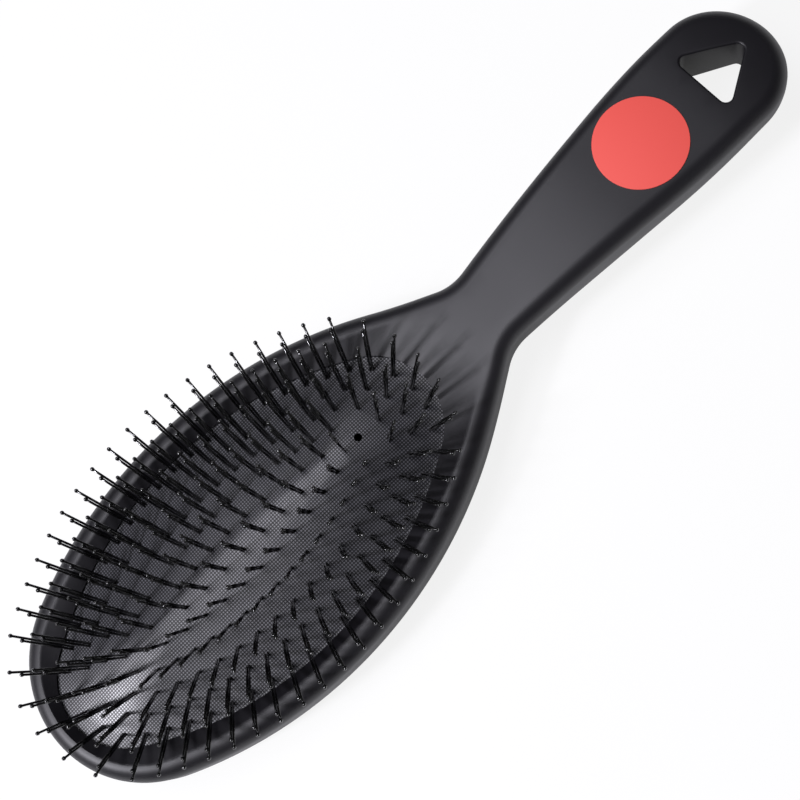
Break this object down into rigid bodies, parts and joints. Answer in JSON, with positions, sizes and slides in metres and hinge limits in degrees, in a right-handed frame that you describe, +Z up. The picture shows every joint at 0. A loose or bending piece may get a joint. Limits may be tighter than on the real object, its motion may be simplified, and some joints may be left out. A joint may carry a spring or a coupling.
{
  "type": "cushion brush",
  "caption": "Oval cushion brush for detangling hair: handle and head in one moulding, crowned rubber cushion, rings of ball-tipped double pins and a round label.",
  "frame": {"origin": "on the flat of the back, under the middle of the cushion; the brush lies on its back", "axes": "+X from the head to the handle's end, +Y to the left, +Z up, the way the pins point"},
  "size_m": [0.2285, 0.0744, 0.0347],
  "materials": {
    "soft_touch_plastic": "soft-touch matt charcoal",
    "cushion_rubber": "matt with a fine woven grain",
    "label_film": "matt coral red",
    "pin_plastic": "glossy black"
  },
  "bodies": {
    "brush": {"handle_body": "soft_touch_plastic", "cushion": "cushion_rubber", "label_disc": "label_film"},
    "ring_0": {"pins_ring_0": "pin_plastic"},
    "ring_1": {"pins_ring_1": "pin_plastic"},
    "ring_2": {"pins_ring_2": "pin_plastic"},
    "ring_3": {"pins_ring_3": "pin_plastic"},
    "ring_4": {"pins_ring_4": "pin_plastic"},
    "ring_5": {"pins_ring_5": "pin_plastic"}
  },
  "joints": [
    {"name": "press_ring_0", "type": "slide", "parent": "brush", "child": "ring_0", "axis": [0, 0, -1], "range_m": [0, 0.003], "stiffness_N_per_m": 200, "springref_m": -0.0005, "deforming": ["cushion"]},
    {"name": "press_ring_1", "type": "slide", "parent": "brush", "child": "ring_1", "axis": [0, 0, -1], "range_m": [0, 0.00276], "stiffness_N_per_m": 200, "springref_m": -0.0005},
    {"name": "press_ring_2", "type": "slide", "parent": "brush", "child": "ring_2", "axis": [0, 0, -1], "range_m": [0, 0.00224], "stiffness_N_per_m": 200, "springref_m": -0.0005},
    {"name": "press_ring_3", "type": "slide", "parent": "brush", "child": "ring_3", "axis": [0, 0, -1], "range_m": [0, 0.00164], "stiffness_N_per_m": 200, "springref_m": -0.0005},
    {"name": "press_ring_4", "type": "slide", "parent": "brush", "child": "ring_4", "axis": [0, 0, -1], "range_m": [0, 0.00094], "stiffness_N_per_m": 200, "springref_m": -0.0005},
    {"name": "press_ring_5", "type": "slide", "parent": "brush", "child": "ring_5", "axis": [0, 0, -1], "range_m": [0, 0.00028], "stiffness_N_per_m": 200, "springref_m": -0.0005}
  ],
  "couplings": [
    {"joint": "press_ring_1", "follows": "press_ring_0", "ratio": 0.9175},
    {"joint": "press_ring_2", "follows": "press_ring_0", "ratio": 0.745},
    {"joint": "press_ring_3", "follows": "press_ring_0", "ratio": 0.545},
    {"joint": "press_ring_4", "follows": "press_ring_0", "ratio": 0.31},
    {"joint": "press_ring_5", "follows": "press_ring_0", "ratio": 0.0925}
  ]
}
